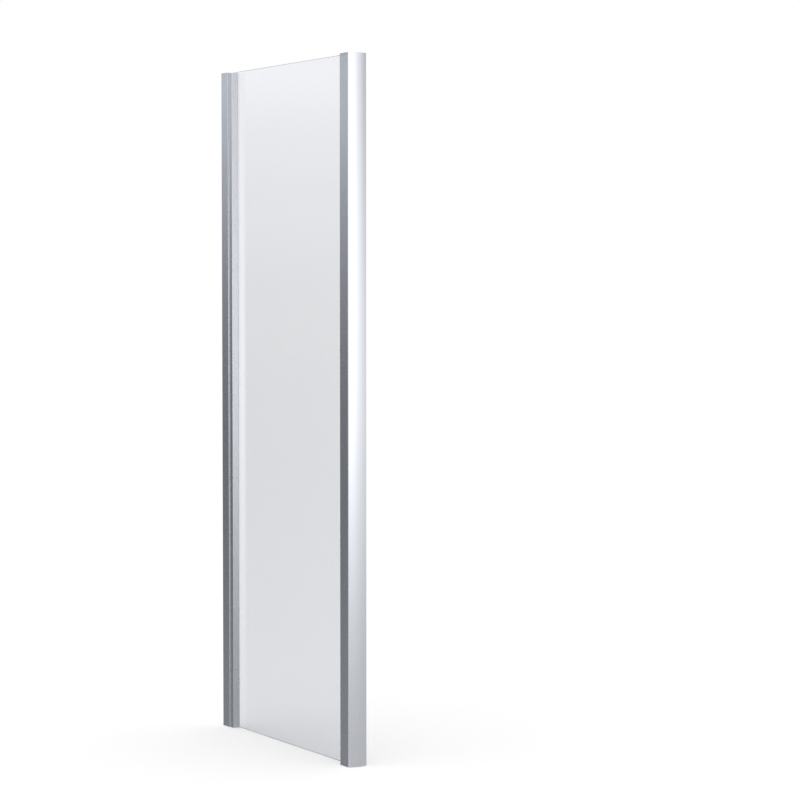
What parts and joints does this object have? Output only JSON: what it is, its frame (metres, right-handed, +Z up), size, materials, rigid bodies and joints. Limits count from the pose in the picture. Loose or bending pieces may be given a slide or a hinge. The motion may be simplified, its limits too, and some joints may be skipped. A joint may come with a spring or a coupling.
{
  "type": "shower side panel",
  "caption": "Tall glass side panel for a shower, with a telescoping wall channel and a wide bow-fronted corner post that takes a door frame.",
  "frame": {"origin": "on the wall plane, at the foot of the wall channel and midway across its width", "axes": "+X from the wall along the panel, -Y the outside of the enclosure, +Y the shower side, +Z up"},
  "size_m": [0.761, 0.056, 1.9],
  "materials": {
    "silver_aluminium": "bright satin anodised",
    "silver_cap": "silver, satin",
    "clear_glass": "clear, polished",
    "clear_gasket": "soft, translucent",
    "grey_rubber": "matte",
    "steel_screw": "satin",
    "cover_plastic": "silver, satin"
  },
  "bodies": {
    "wall_side": {"wall_channel": "silver_aluminium", "wall_channel_lid": "silver_cap"},
    "panel": {"adjuster_profile": "silver_aluminium", "adjuster_top_cap": "silver_cap", "adjuster_foot_cap": "silver_cap", "adjuster_outer_gasket": "clear_gasket", "adjuster_inner_gasket": "clear_gasket", "adjuster_edge_blocks": "grey_rubber", "locking_screws": "steel_screw", "locking_cup_washers": "cover_plastic", "locking_snap_caps": "cover_plastic", "glass_pane": "clear_glass", "glass_setting_pads": "grey_rubber", "corner_post": "silver_aluminium", "post_outer_gasket": "clear_gasket", "post_inner_gasket": "clear_gasket", "post_edge_blocks": "grey_rubber", "post_top_cap": "silver_cap", "post_cap_screws": "steel_screw", "post_foot_cap": "silver_cap"}
  },
  "joints": [
    {"name": "width_adjust", "type": "slide", "parent": "wall_side", "child": "panel", "axis": [1, 0, 0], "range_m": [-0.018, 0.007]}
  ]
}
